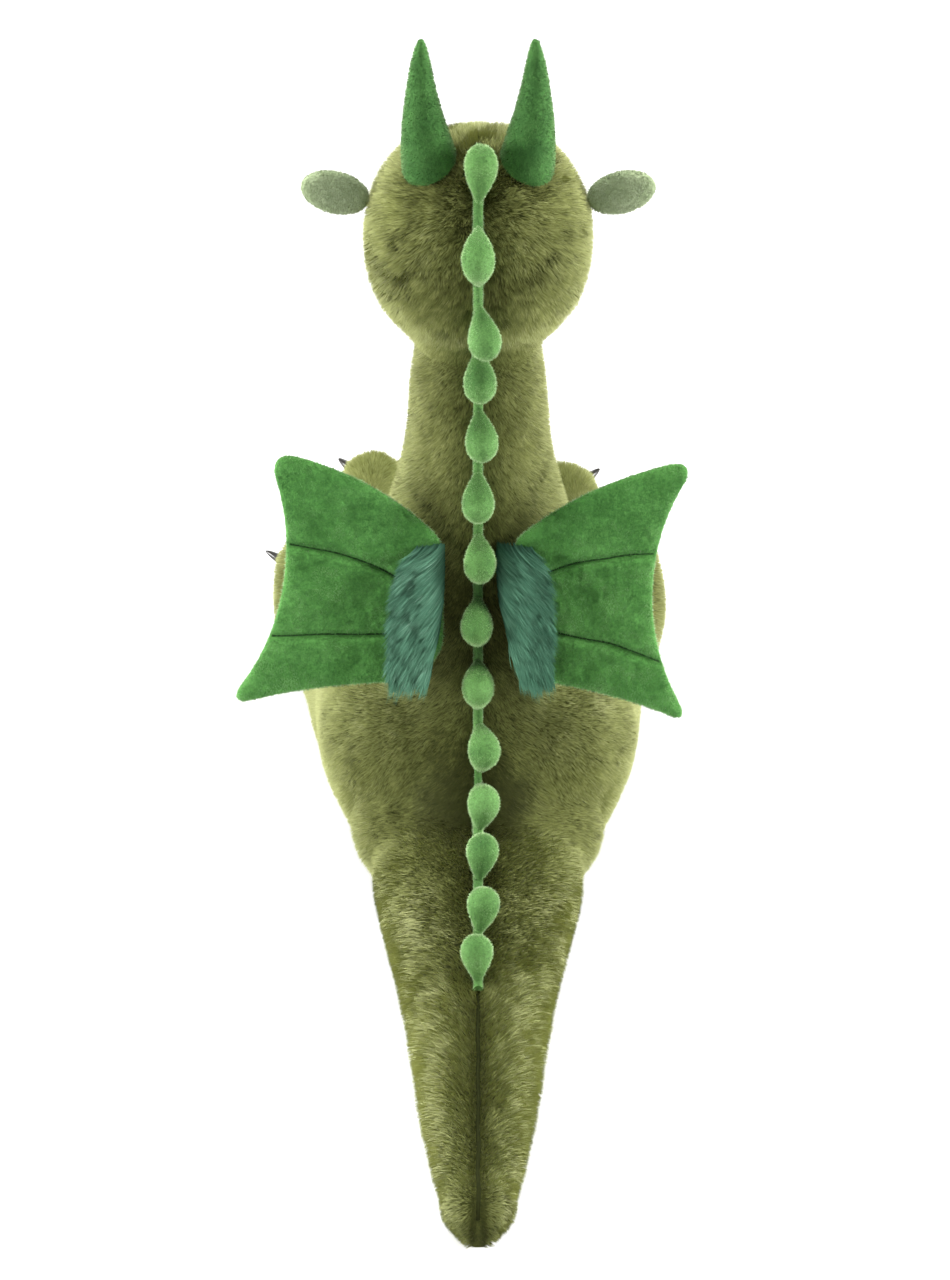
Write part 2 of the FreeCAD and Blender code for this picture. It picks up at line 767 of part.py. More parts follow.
def claw_blank(center, way, length):
    """One blunt, round claw that tapers from its root at center to its tip."""
    radius = size("claw_radius")
    edge = Part.BezierCurve()
    edge.setPoles([vector(radius, 0, 0), vector(radius * CLAW_FULLNESS, 0, length * 0.6),
                   vector(radius * CLAW_BLUNTNESS, 0, length), vector(0, 0, length)])
    outline = Part.Wire([edge.toShape(), Part.makeLine(vector(0, 0, length), vector(0, 0, 0)),
                         Part.makeLine(vector(0, 0, 0), vector(radius, 0, 0))])
    blank = Part.Face(outline).revolve(vector(0, 0, 0), Z_AXIS, 360)
    blank.Placement = FreeCAD.Placement(center, FreeCAD.Rotation(Z_AXIS, way))
    return blank


def claws(label, center, ways, limb):
    """Claws that stand out of a limb where lines from its middle leave it, cut off at its surface."""
    blanks = []
    for way in ways:
        way = way.normalize()
        inside = limb.Shape.common(Part.makeLine(center, center + way * size("reach")))
        root = center + way * (inside.Length - size("claw_sink"))
        blanks.append(claw_blank(root, way, size("claw_sink") + size("claw_length")))
    whole = feature(f"{label}_whole", Part.makeCompound(blanks))
    return cut(label, whole, limb)


def build_arms():
    """Stuffed arms that reach ahead, with claws on the paws."""
    pieces = []
    gap = size("stuffing_gap")
    for side, sign in SIDES.items():
        outside = loft(f"arm_outside_{side}", arm_wires(side))
        inside = loft(f"arm_inside_{side}", arm_wires(side, size("skin")))
        core = loft(f"arm_core_{side}", arm_wires(side, size("skin") + gap))
        core.Label = f"arm_filling_{side}"
        pieces.append(cut(f"arm_cover_{side}", outside, inside))
        pieces.append(core)
        middle = (size("torso_ribs_half_width") + size("joint_gap") + size("arm_shoulder_half_width")
                  - size("arm_paw_inset") - size(f"arm_turn_{side}"))
        center = vector(sign * middle, -size("arm_paw_ahead") - size("arm_ahead"),
                        size("arm_height") - size("arm_paw_drop") - size(f"arm_droop_{side}"))
        ways = [vector(sign * math.sin(math.radians(turn)), -math.cos(math.radians(turn)), 0.2)
                for turn in FINGER_TURNS]
        pieces.append(claws(f"arm_claws_{side}", center, ways, outside))
    return pieces


def build_legs():
    """Stuffed legs with round haunches, stretched ahead, with soles that face forward."""
    pieces = []
    gap = size("stuffing_gap")
    for side, sign in SIDES.items():
        outside = loft(f"leg_outside_{side}", leg_wires(side))
        inside = loft(f"leg_inside_{side}", leg_wires(side, size("skin")))
        core = loft(f"leg_core_{side}", leg_wires(side, size("skin") + gap))
        core.Label = f"leg_filling_{side}"
        pieces.append(cut(f"leg_cover_{side}", outside, inside))
        pieces.append(core)
        middle = (size("torso_hip_half_width") + size("joint_gap") + size("leg_sole_half_width")
                  + size(f"leg_splay_{side}"))
        ahead = size("leg_sole_ahead")
        center = vector(sign * middle, -ahead, size("tail_lift") + size("leg_sole_half_height"))
        pad = oval(center, X_AXIS, Z_AXIS, size("leg_sole_half_width") * 0.94,
                   size("leg_sole_half_height") * 0.94)
        pieces.append(feature(f"leg_sole_{side}", Part.Face(pad).extrude(Y_AXIS * -size("sole_thickness"))))
        toes = center + Y_AXIS * 24 + Z_AXIS * (size("leg_sole_half_height") * 0.4)
        turns = [math.radians(turn + size(f"toe_roll_{side}")) for turn in TOE_TURNS]
        ways = [vector(sign * math.sin(turn), -TOE_REACH, math.cos(turn)) for turn in turns]
        pieces.append(claws(f"leg_claws_{side}", toes, ways, outside))
    return pieces


# ---------------------------------------------------------------- the whole toy

def check_and_export(pieces):
    """Stop on any failed object or bad solid, then write one STEP file for each piece."""
    for item in doc.Objects:
        if "Invalid" in item.State or "Error" in item.State:
            raise RuntimeError(f"{item.Label} failed: {item.State}")
    labels = [piece.Label for piece in pieces]
    if len(set(labels)) != len(labels):
        raise RuntimeError("two pieces share a label")
    for piece in pieces:
        if piece.Shape.isNull() or not piece.Shape.isValid() or not piece.Shape.Solids:
            raise RuntimeError(f"{piece.Label} is not a valid solid")
    for piece in pieces:
        piece.Shape.exportStep(f"parts/{piece.Label}.step")
        print(f"{piece.Label}: {len(piece.Shape.Solids)} solid(s), {piece.Shape.Volume / 1000:.1f} cm3")


def main():
    fill_sheet()
    solids = build_bodies()
    halves = {side: half_space(side) for side in SIDES}
    doc.recompute()
    pieces = build_torso(solids, halves)
    pieces += build_tail(solids, halves)
    pieces += build_head(solids, halves)
    pieces += build_horns(solids)
    pieces += build_ears(solids)
    pieces += build_crest(solids)
    pieces += build_wings(solids)
    pieces += build_arms()
    pieces += build_legs()
    doc.recompute()
    check_and_export(pieces)


main()
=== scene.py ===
import math

import bmesh
import bpy
import numpy as np
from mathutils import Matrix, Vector
from mathutils.bvhtree import BVHTree


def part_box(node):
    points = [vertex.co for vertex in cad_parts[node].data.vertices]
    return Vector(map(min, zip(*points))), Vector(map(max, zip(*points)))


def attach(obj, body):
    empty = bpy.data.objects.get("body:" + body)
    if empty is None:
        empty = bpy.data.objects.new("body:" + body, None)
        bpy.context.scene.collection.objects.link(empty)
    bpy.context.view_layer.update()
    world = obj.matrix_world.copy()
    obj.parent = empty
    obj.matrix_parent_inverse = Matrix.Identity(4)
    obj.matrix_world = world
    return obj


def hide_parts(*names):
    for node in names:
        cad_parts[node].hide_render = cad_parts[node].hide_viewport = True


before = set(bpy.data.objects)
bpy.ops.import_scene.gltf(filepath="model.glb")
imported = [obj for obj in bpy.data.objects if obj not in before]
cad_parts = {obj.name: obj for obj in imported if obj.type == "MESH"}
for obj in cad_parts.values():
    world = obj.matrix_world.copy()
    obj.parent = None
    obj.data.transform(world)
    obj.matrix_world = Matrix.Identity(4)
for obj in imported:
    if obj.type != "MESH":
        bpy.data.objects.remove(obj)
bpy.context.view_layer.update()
SIDES = {"left": 1.0, "right": -1.0}
MM = 0.001
# The pile, in metres and strands.
NAP_WIDTH = 0.00055
PILE_LENGTH = 0.0052
ARM_PILE_LENGTH = 0.0056
WING_NAP_COUNT = 70000
TUFT_COUNT = 30000
# How far along a wing, in millimetres, a tuft's hair begins to ride it. Nearer the back it rides the body.
TUFT_SPLIT = 1.5
# The stage.
SKY_LEVEL = 0.29
FLOOR_GLOW = 0.46
CAMERA_TILT = math.radians(35)
CAMERA_DISTANCE = 3.0


# ---------------------------------------------------------------- materials

def colour(r, g, b):
    """A linear colour from sRGB numbers of 0 to 255."""
    parts = [c / 255 for c in (r, g, b)]
    return tuple(c / 12.92 if c <= 0.04045 else ((c + 0.055) / 1.055) ** 2.4 for c in parts) + (1.0,)


class Nodes:
    """A new material, and short ways to add and link its shader nodes."""

    def __init__(self, name):
        self.material = bpy.data.materials.new(name)
        self.material.use_nodes = True
        self.tree = self.material.node_tree
        self.shader = self.tree.nodes["Principled BSDF"]

    def add(self, kind, **settings):
        """A node with these settings, each on the socket of its name or else on the node."""
        node = self.tree.nodes.new(kind)
        for key, value in settings.items():
            if key in node.inputs.keys():
                node.inputs[key].default_value = value
            else:
                setattr(node, key, value)
        return node

    def link(self, start, end):
        """Join two sockets."""
        self.tree.links.new(start, end)

    def noise(self, scale, detail, roughness=0.55):
        """Noise that is fixed to the object."""
        place = self.add("ShaderNodeTexCoord")
        node = self.add("ShaderNodeTexNoise", Scale=scale, Detail=detail, Roughness=roughness)
        self.link(place.outputs["Object"], node.inputs["Vector"])
        return node.outputs["Fac"]

    def ramp(self, fac, stops):
        """Colours over a number, from pairs of a place and a colour."""
        node = self.add("ShaderNodeValToRGB")
        band = node.color_ramp
        while len(band.elements) < len(stops):
            band.elements.new(0.5)
        for element, (place, tone) in zip(band.elements, stops):
            element.position = place
            element.color = tone
        self.link(fac, node.inputs["Fac"])
        return node.outputs["Color"]

    def mix(self, fac, first, second, blend="MIX"):
        """Two colours mixed, where each input is a socket or a value."""
        node = self.add("ShaderNodeMix", data_type="RGBA", blend_type=blend)
        for socket, value in ((node.inputs[0], fac), (node.inputs[6], first), (node.inputs[7], second)):
            if isinstance(value, bpy.types.NodeSocket):
                self.link(value, socket)
            else:
                socket.default_value = value
        return node.outputs[2]

    def bump(self, height, strength, distance):
        """A fine relief on the shader."""
        node = self.add("ShaderNodeBump", Strength=strength, Distance=distance)
        self.link(height, node.inputs["Height"])
        self.link(node.outputs["Normal"], self.shader.inputs["Normal"])

    def finish(self, roughness, sheen=0.0, sheen_tint=None, coat=0.0):
        """Set the plain numbers of the shader and hand the material over."""
        inputs = self.shader.inputs
        inputs["Roughness"].default_value = roughness
        inputs["Specular IOR Level"].default_value = 0.2 if coat == 0 else 0.5
        inputs["Sheen Weight"].default_value = sheen
        inputs["Sheen Roughness"].default_value = 0.45
        if sheen_tint:
            inputs["Sheen Tint"].default_value = sheen_tint
        inputs["Coat Weight"].default_value = coat
        return self.material


def pile_material(name, stops, root, rim, sheen, rim_highlight_share=0.5):
    """Strands: the first UV number picks a strand's tone and the second runs from its root to its tip, with
    painted shade towards the root and a painted sheen highlight at the rim.
    """
    n = Nodes(name)
    uv = n.add("ShaderNodeUVMap", uv_map="OFBake")
    parts = n.add("ShaderNodeSeparateXYZ")
    n.link(uv.outputs["UV"], parts.inputs["Vector"])
    tone = n.ramp(parts.outputs["X"], stops)
    # Darker towards each strand's root: painted shade in the depth of the pile.
    depth = n.ramp(parts.outputs["Y"], [(0.0, (0.0, 0.0, 0.0, 1.0)), (0.75, (1.0, 1.0, 1.0, 1.0))])
    # A paler rim where the strands turn from the view, mixed into the base colour: a painted sheen
    # highlight.
    facing = n.add("ShaderNodeLayerWeight", Blend=0.3)
    edge = n.ramp(facing.outputs["Facing"], [(0.2, (0.0, 0.0, 0.0, 1.0)), (0.85, (rim_highlight_share,) * 3 + (1.0,))])
    n.link(n.mix(edge, n.mix(depth, root, tone), rim), n.shader.inputs["Base Color"])
    return n.finish(0.75, sheen, rim)


def velvet_material(name, dark, middle, light, rim, sheen):
    """Short plush: a fine stipple over slow patches, with a paler rim that is a painted sheen highlight."""
    n = Nodes(name)
    patches = n.noise(38.0, 4.0)
    stipple = n.noise(900.0, 2.0, 0.7)
    base = n.ramp(patches, [(0.3, dark), (0.5, middle), (0.72, light)])
    fine = n.ramp(stipple, [(0.32, (0.55, 0.55, 0.55, 1.0)), (0.62, (1.0, 1.0, 1.0, 1.0))])
    body = n.mix(0.8, base, fine, "MULTIPLY")
    # The rim colour is mixed in where the surface turns from the view: a painted sheen highlight.
    facing = n.add("ShaderNodeLayerWeight", Blend=0.28)
    edge = n.ramp(facing.outputs["Facing"], [(0.45, (0.0, 0.0, 0.0, 1.0)), (1.0, (0.62, 0.62, 0.62, 1.0))])
    n.link(n.mix(edge, body, rim), n.shader.inputs["Base Color"])
    n.bump(stipple, 0.35, 0.0006)
    return n.finish(0.85, sheen, rim)


OLIVE_STOPS = [(0.0, colour(56, 60, 18)), (0.3, colour(106, 112, 54)), (0.55, colour(132, 138, 76)),
               (0.8, colour(156, 162, 98)), (1.0, colour(192, 196, 136))]
olive_pile = pile_material("olive plush pile", OLIVE_STOPS, colour(66, 71, 26), colour(222, 226, 164), 0.4,
                           0.68)
TEAL_STOPS = [(0.0, colour(56, 102, 78)), (0.35, colour(80, 128, 102)), (0.65, colour(100, 150, 122)),
              (1.0, colour(150, 190, 166))]
teal_pile = pile_material("teal long pile", TEAL_STOPS, colour(60, 104, 82), colour(160, 196, 172), 0.3)
GREEN_STOPS = [(0.0, colour(70, 126, 62)), (0.5, colour(96, 156, 84)), (1.0, colour(142, 198, 122))]
green_pile = pile_material("green short pile", GREEN_STOPS, colour(76, 134, 60), colour(206, 226, 184), 0.4,
                           0.8)
HORN_STOPS = [(0.0, colour(54, 96, 46)), (0.5, colour(74, 122, 61)), (1.0, colour(108, 158, 88))]
horn_pile = pile_material("deep green short pile", HORN_STOPS, colour(58, 102, 48), colour(176, 208, 150),
                          0.3)
LEAF_STOPS = [(0.0, colour(58, 100, 50)), (0.3, colour(94, 142, 74)), (0.6, colour(126, 176, 100)),
              (1.0, colour(164, 206, 136))]
leaf_pile = pile_material("leaf green short pile", LEAF_STOPS, colour(60, 100, 48), colour(206, 232, 180),
                          0.3, 0.85)
SAGE_STOPS = [(0.0, colour(158, 176, 132)), (0.5, colour(184, 200, 158)), (1.0, colour(212, 224, 188))]
sage_pile = pile_material("sage short pile", SAGE_STOPS, colour(150, 168, 126), colour(214, 222, 194), 0.3)

green_velvet = velvet_material("green plush",
                               colour(80, 140, 64), colour(96, 160, 78), colour(112, 176, 92),
                               colour(180, 212, 154), 0.35)
horn_velvet = velvet_material("deep green plush",
                              colour(62, 112, 52), colour(76, 128, 62), colour(92, 148, 76),
                              colour(170, 206, 146), 0.35)
leaf_velvet = velvet_material("leaf green plush",
                              colour(70, 114, 56), colour(90, 136, 70), colour(110, 158, 88),
                              colour(200, 228, 168), 0.35)
sage_velvet = velvet_material("sage plush",
                              colour(156, 174, 132), colour(178, 194, 152), colour(196, 210, 170),
                              colour(212, 220, 190), 0.35)
# The ground under the olive pile is darker than the pile: painted shade beneath the strands.
olive_ground = velvet_material("olive plush ground",
                               colour(64, 68, 28), colour(82, 87, 38), colour(100, 105, 50),
                               colour(104, 109, 54), 0.0)


def plain_material(name, tone, roughness, coat=0.0):
    """One colour with faint darker patches."""
    n = Nodes(name)
    stain = n.ramp(n.noise(220.0, 2.0), [(0.35, tuple(c * 0.8 for c in tone[:3]) + (1.0,)), (0.65, tone)])
    n.link(stain, n.shader.inputs["Base Color"])
    return n.finish(roughness, coat=coat)


claw_plastic = plain_material("claw plastic", colour(44, 42, 36), 0.3, 0.6)
eye_plastic = plain_material("eye plastic", colour(24, 20, 16), 0.12, 0.8)
thread = plain_material("dark thread", colour(52, 58, 36), 0.8)
# A dark cord that stands for the shadow in the tail's seam: a painted shadow, not a thread.
seam_shadow_cord = plain_material("shaded seam", colour(38, 42, 10), 1.0)
# The wings' stitching, darker than the cloth as painted shade of the creases it lies in.
crease_shaded_green_thread = plain_material("green thread", colour(44, 78, 38), 0.9)


# ---------------------------------------------------------------- meshes

def linked(name, mesh):
    """A new object with this mesh or curve in the scene."""
    obj = bpy.data.objects.new(name, mesh)
    bpy.context.scene.collection.objects.link(obj)
    return obj


def unit(rows):
    """Each row at a length of one."""
    return rows / np.maximum(np.linalg.norm(rows, axis=1, keepdims=True), 1e-9)


def field(points, size, seed):
    """A smooth random number from about -1 to 1 at each point, with patches of this size."""
    rng = np.random.default_rng(seed)
    total = np.zeros(len(points))
    for step, share in ((1.0, 0.65), (2.1, 0.35)):
        waves = rng.normal(size=(14, 3)) * step / (size * 2.0)
        turns = rng.uniform(0, 2 * math.pi, 14)
        total += share * np.sin(points @ waves.T * 2 * math.pi + turns).sum(axis=1) / math.sqrt(7.0)
    return np.clip(total, -1.6, 1.6)


def gathered(name, nodes):
    """One mesh of these CAD nodes together."""
    form = bmesh.new()
    for node in nodes:
        form.from_mesh(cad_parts[node].data)
    bmesh.ops.remove_doubles(form, verts=form.verts, dist=1e-6)
    mesh = bpy.data.meshes.new(name)
    form.to_mesh(mesh)
    form.free()
    return mesh


def evaluated(obj):
    """The object's mesh with its modifiers applied, as a new object of the same name."""
    depsgraph = bpy.context.evaluated_depsgraph_get()
    mesh = bpy.data.meshes.new_from_object(obj.evaluated_get(depsgraph))
    name = obj.name
    bpy.data.objects.remove(obj)
    made = linked(name, mesh)
    made.name = name
    return made


def remeshed(name, mesh, voxel, rounds):
    """A single closed skin round a mesh, at this voxel size, smoothed this many times."""
    obj = linked(name, mesh)
    step = obj.modifiers.new("skin", "REMESH")
    step.mode = "VOXEL"
    step.voxel_size = voxel
    relax = obj.modifiers.new("relax", "SMOOTH")
    relax.factor = 0.5
    relax.iterations = rounds
    obj = evaluated(obj)
    for face in obj.data.polygons:
        face.use_smooth = True
    return obj


def coordinates(obj):
    """Where an object's corners are, as rows."""
    rows = np.empty(len(obj.data.vertices) * 3, np.float32)
    obj.data.vertices.foreach_get("co", rows)
    return rows.reshape(-1, 3).astype(float)


def tree_of(obj):
    """A search tree over an object's faces."""
    return BVHTree.FromPolygons([tuple(v) for v in coordinates(obj)],
                                [tuple(p.vertices) for p in obj.data.polygons])


def normals_of(obj):
    """The directions that an object's corners face, as rows."""
    rows = np.empty(len(obj.data.vertices) * 3, np.float32)
    obj.data.vertices.foreach_get("normal", rows)
    return rows.reshape(-1, 3).astype(float)


def place(obj, rows):
    """Move an object's corners to these rows."""
    obj.data.vertices.foreach_set("co", rows.astype(np.float32).ravel())
    obj.data.update()


def finished(obj, material):
    """Give a piece this finish alone."""
    obj.data.materials.clear()
    obj.data.materials.append(material)


def clothed(obj, material, body, nodes):
    """Give a piece its finish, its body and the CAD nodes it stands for."""
    finished(obj, material)
    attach(obj, body)
    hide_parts(*nodes)


# ---------------------------------------------------------------- pile

def triangles(obj):
    """An object's corners, its directions at them, and the three corners of each triangle."""
    mesh = obj.data
    mesh.calc_loop_triangles()
    corners = np.empty(len(mesh.loop_triangles) * 3, np.int32)
    mesh.loop_triangles.foreach_get("vertices", corners)
    return coordinates(obj), normals_of(obj), corners.reshape(-1, 3)


def scattered(obj, count, rng, keep=None):
    """Random points on an object, and the surface's direction at each."""
    points, normals, corners = triangles(obj)
    a, b, c = (points[corners[:, k]] for k in range(3))
    area = np.linalg.norm(np.cross(b - a, c - a), axis=1)
    if keep is not None:
        area = area * keep((a + b + c) / 3)
    pick = rng.choice(len(area), count, p=area / area.sum())
    s, t = rng.random(count), rng.random(count)
    flip = s + t > 1
    s[flip], t[flip] = 1 - s[flip], 1 - t[flip]
    share = np.stack([1 - s - t, s, t], axis=1)
    root = sum(points[corners[pick, k]] * share[:, k:k + 1] for k in range(3))
    out = unit(sum(normals[corners[pick, k]] * share[:, k:k + 1] for k in range(3)))
    return root, out


def ribbon_mesh(name, points, corners):
    """A smooth mesh of triangles, three corners after three corners."""
    total = len(corners) // 3
    mesh = bpy.data.meshes.new(name)
    mesh.vertices.add(len(points))
    mesh.vertices.foreach_set("co", points.astype(np.float32).ravel())
    mesh.loops.add(len(corners))
    mesh.loops.foreach_set("vertex_index", corners.astype(np.int32))
    mesh.polygons.add(total)
    mesh.polygons.foreach_set("loop_start", np.arange(0, total * 3, 3, dtype=np.int32))
    mesh.update(calc_edges=True)
    mesh.polygons.foreach_set("use_smooth", np.ones(total, bool))
    return mesh


def strands(name, root, out, along, length, width, lean, tone, material, rng, joints=2):
    """Tapered ribbons from root, leaning from the out direction towards along."""
    count = len(root)
    along = unit(along - out * (along * out).sum(axis=1, keepdims=True) + 1e-6)
    lean = np.clip(lean, 0.05, 1.25)[:, None]
    length = length[:, None]
    spine = [root - out * 0.0006]
    for step in range(joints):
        turn = lean * (0.45 + 0.8 * step / max(joints - 1, 1))
        way = unit(out * np.cos(turn) + along * np.sin(turn))
        spine.append(spine[-1] + way * length / joints)
    chord = unit(spine[-1] - spine[0])
    across = unit(np.cross(chord, out))
    face = np.cross(across, chord)
    roll = rng.uniform(-0.8, 0.8, count)[:, None]
    side = across * np.cos(roll) + face * np.sin(roll)
    shine = unit(out * 0.8 + np.cross(side, chord) * 0.3 + rng.normal(0, 0.12, (count, 3)))
    rows, levels = [], []
    for step in range(joints):
        half = side * (width * (1 - 0.35 * step / joints) / 2)[:, None]
        rows += [spine[step] - half, spine[step] + half]
        levels += [step / joints] * 2
    rows.append(spine[joints])
    levels.append(1.0)
    each = len(rows)
    points = np.stack(rows, axis=1).reshape(-1, 3)
    faces = []
    for step in range(joints - 1):
        low = 2 * step
        faces += [(low, low + 1, low + 3), (low, low + 3, low + 2)]
    faces.append((each - 3, each - 2, each - 1))
    faces = np.array(faces)
    corners = (np.arange(count)[:, None, None] * each + faces[None]).reshape(-1)
    mesh = ribbon_mesh(name, points, corners)
    layer = mesh.uv_layers.new(name="OFBake")
    offset = np.array([-0.002 if k % 2 == 0 else 0.002 for k in range(each - 1)] + [0.0])
    u = np.clip(tone, 0.01, 0.99)[:, None] + offset[None]
    v = np.broadcast_to(np.array(levels) * 0.96 + 0.02, (count, each))
    uv = np.stack([u, v], axis=2).reshape(-1, 2)[corners]
    layer.data.foreach_set("uv", uv.astype(np.float32).ravel())
    mesh.normals_split_custom_set_from_vertices(np.repeat(shine, each, axis=0))
    obj = linked(name, mesh)
    obj.data.materials.append(material)
    return obj


def short_pile(name, source, count, length, width, material, body, seed, keep=None, lean=0.7,
               shade=None):
    """A short even nap over a piece of minky."""
    rng = np.random.default_rng(seed)
    root, out = scattered(source, count, rng, keep)
    along = rng.normal(0, 0.5, root.shape) + np.array([0.0, 0.25, -0.8])
    tone = 0.5 + 0.24 * field(root, 0.012, seed + 1) + rng.normal(0, 0.16, count)
    # A shade function adds painted light and shade to the tone.
    if shade is not None:
        tone += shade(root)
    reach = length * rng.uniform(0.7, 1.2, count)
    nap = strands(name, root, out, along, reach, np.full(count, width),
                  lean * rng.uniform(0.6, 1.2, count), tone, material, rng, joints=1)
    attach(nap, body)


def sewn(name, points, thickness, material, body):
    """A thread through these places, as a thin round line."""
    line = bpy.data.curves.new(name, "CURVE")
    line.dimensions = "3D"
    line.bevel_depth = thickness
    line.bevel_resolution = 3
    spline = line.splines.new("NURBS")
    spline.points.add(len(points) - 1)
    for point, spot in zip(spline.points, points):
        point.co = (*(float(c) for c in spot), 1.0)
    spline.order_u = 3
    spline.use_endpoint_u = True
    obj = linked(name, line)
    obj.data.materials.append(material)
    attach(obj, body)


# ---------------------------------------------------------------- stuffed covers

def distance(rows, spots):
    """How far each row is from the nearest of these spots."""
    return np.min(np.linalg.norm(rows[:, None] - np.array(spots)[None], axis=2), axis=1)


def eased(value, low, high):
    """A soft step from 0 to 1 between low and high."""
    t = np.clip((value - low) / (high - low), 0, 1)
    return t * t * (3 - 2 * t)


def drawn_in(obj, depth):
    """Move a skin inwards by this much, so that its pile ends where the cover does."""
    rows, out = coordinates(obj), normals_of(obj)
    depth = depth(rows) if callable(depth) else depth
    place(obj, rows - out * np.broadcast_to(np.asarray(depth), len(rows))[:, None])


def flow_body(points):
    """The way the pile lies: down the head and back, and along the tail."""
    tail = eased(points[:, 1], 0.06, 0.13)[:, None] * (1 - eased(points[:, 2], 0.08, 0.14))[:, None]
    down = np.array([0.0, 0.25, -1.0])
    behind = np.array([0.0, 1.0, -0.12])
    way = down * (1 - tail) + behind * tail
    side = np.sign(points[:, :1]) * np.array([[0.35, 0.0, 0.0]])
    parting = 2.5 * tail * np.exp(-(points[:, :1] / 0.01) ** 2) * eased(points[:, 1], 0.19, 0.23)[:, None]
    return way + side * (1 + tail + parting)


def painted_light_and_shade(points):
    """Painted light and shade on the body pile: paler on the flanks and the tail, painted shadow beside the
    crest, painted shade in the hollow of the hips and in the tail's seam.
    """
    x, y, z = points.T
    # Painted shadow of the crest beside it.
    beside = np.exp(-(x / 0.017) ** 2) * eased(y, 0.0, 0.03) * (1 - 0.5 * eased(y, 0.13, 0.2))
    # Painted shade in the hollow between the hips.
    hip_hollow_shade = np.exp(-(x / 0.034) ** 2) * eased(y, 0.02, 0.05) * (1 - eased(y, 0.1, 0.15))
    hip_hollow_shade = hip_hollow_shade * (1 - eased(z, 0.09, 0.15))
    # Painted shade in the tail's seam.
    seam = np.exp(-(x / 0.0036) ** 2) * eased(y, 0.21, 0.24)
    # Painted light on the flanks.
    flank_light = eased(np.abs(x), 0.022, 0.05) * eased(y, 0.0, 0.03)
    flank_light = flank_light * eased(z, 0.09, 0.13) * (1 - eased(z, 0.28, 0.33))
    # Painted light on the tail: paler towards its edges and its end, and paler still on its left side.
    tail = eased(y, 0.09, 0.15)
    tail = tail * (0.35 + 0.75 * eased(np.abs(x), 0.004, 0.02)) + 0.25 * eased(y, 0.27, 0.35)
    tail += 0.6 * eased(x, 0.003, 0.02) * eased(y, 0.19, 0.23) * (1 - eased(y, 0.3, 0.34))
    return 0.3 * tail + 0.2 * flank_light - 0.22 * beside - 0.7 * hip_hollow_shade - 0.95 * seam


def furred(name, skin, count, length, flow, body, seed, keep=None, reach=None, pieces=1):
    """Plush pile over a skin, in patches that lean a little differently."""
    rng = np.random.default_rng(seed)
    for part in range(pieces):
        root, out = scattered(skin, count // pieces, rng, keep)
        patch = field(root, 0.011, seed + 1)
        lock = field(root, 0.0035, seed + 8)
        shag = eased(root[:, 2], 0.33, 0.38)
        slow = field(root, 0.035, seed + 2)
        swirl = np.stack([field(root, 0.016, seed + 3 + k) for k in range(3)], axis=1)
        along = unit(flow(root)) + swirl * (0.22 + 0.2 * shag[:, None])
        along = along + rng.normal(0, 0.16, root.shape)
        low = 1 - eased(root[:, 2], 0.01, 0.03)
        lean = 0.84 + 0.08 * patch + 0.07 * slow + 0.3 * low + rng.normal(0, 0.1, len(root))
        lean += (0.05 + 0.08 * shag) * lock
        stray = rng.random(len(root)) < 0.1 + 0.2 * eased(root[:, 1], 0.14, 0.24)
        lean = np.where(stray, lean * 0.5, lean)
        tall = length * (1 + 0.06 * slow) * rng.uniform(0.72, 1.12, len(root))
        if reach is not None:
            tall = tall * reach(root)
        width = rng.uniform(0.4, 0.75, len(root)) * MM
        tone = 0.54 + 0.06 * patch + 0.08 * slow + (0.05 + 0.06 * shag) * lock
        tone = tone + rng.normal(0, 0.09, len(root))
        # Painted light and shade on the body pile, by where each strand stands.
        tone += painted_light_and_shade(root)
        label = name if pieces == 1 else f"{name}_{part + 1}"
        nap = strands(label, root, out, along, tall, width, lean, tone, olive_pile, rng, joints=1)
        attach(nap, body)


def with_ball(mesh, spot, radii):
    """Add a closed egg to a mesh that is about to be remeshed."""
    form = bmesh.new()
    form.from_mesh(mesh)
    ball = bmesh.ops.create_icosphere(form, subdivisions=4, radius=1.0)
    bmesh.ops.scale(form, verts=ball["verts"], vec=Vector(radii))
    bmesh.ops.translate(form, verts=ball["verts"], vec=Vector(spot))
    form.to_mesh(mesh)
    form.free()


BODY_COVERS = ["body_panel_left", "body_panel_right", "seat_panel", "tail_panel_left", "tail_panel_right",
               "head_panel_left", "head_panel_right"]
BODY_CORES = ["body_filling", "tail_filling", "head_filling"]

body_mesh = gathered("body_skin", BODY_COVERS + BODY_CORES)
# Middles and radii of the eggs that fill out the hips, the rump and the tail's end.
FULLNESS = [((0.0, 0.014, 0.09), (0.092, 0.072, 0.066)), ((0.0, 0.054, 0.05), (0.073, 0.056, 0.049)),
            ((0.0, 0.350, 0.019), (0.0225, 0.0215, 0.0185))]
for middle, radii in FULLNESS:
    with_ball(body_mesh, middle, radii)
body_skin = remeshed("body_skin", body_mesh, voxel=0.004, rounds=5)
drawn_in(body_skin, 0.003)
rows = coordinates(body_skin)
rows[:, 0] *= 1 - 0.05 * eased(rows[:, 1], 0.26, 0.365)
place(body_skin, rows)
clothed(body_skin, olive_ground, "plush_body", BODY_COVERS)

muzzle_low, muzzle_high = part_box("muzzle_cover")
# The patches of the skin that stay without pile, under the belly panel, the muzzle and the seat.
BELLY_HALF_WIDTH = 0.024
BELLY_FOOT, BELLY_TOP = 0.022, 0.297
NOSE_HALF_WIDTH = 0.036
NOSE_FOOT, NOSE_TOP = 0.356, 0.412
SEAT_HALF_WIDTH = 0.05


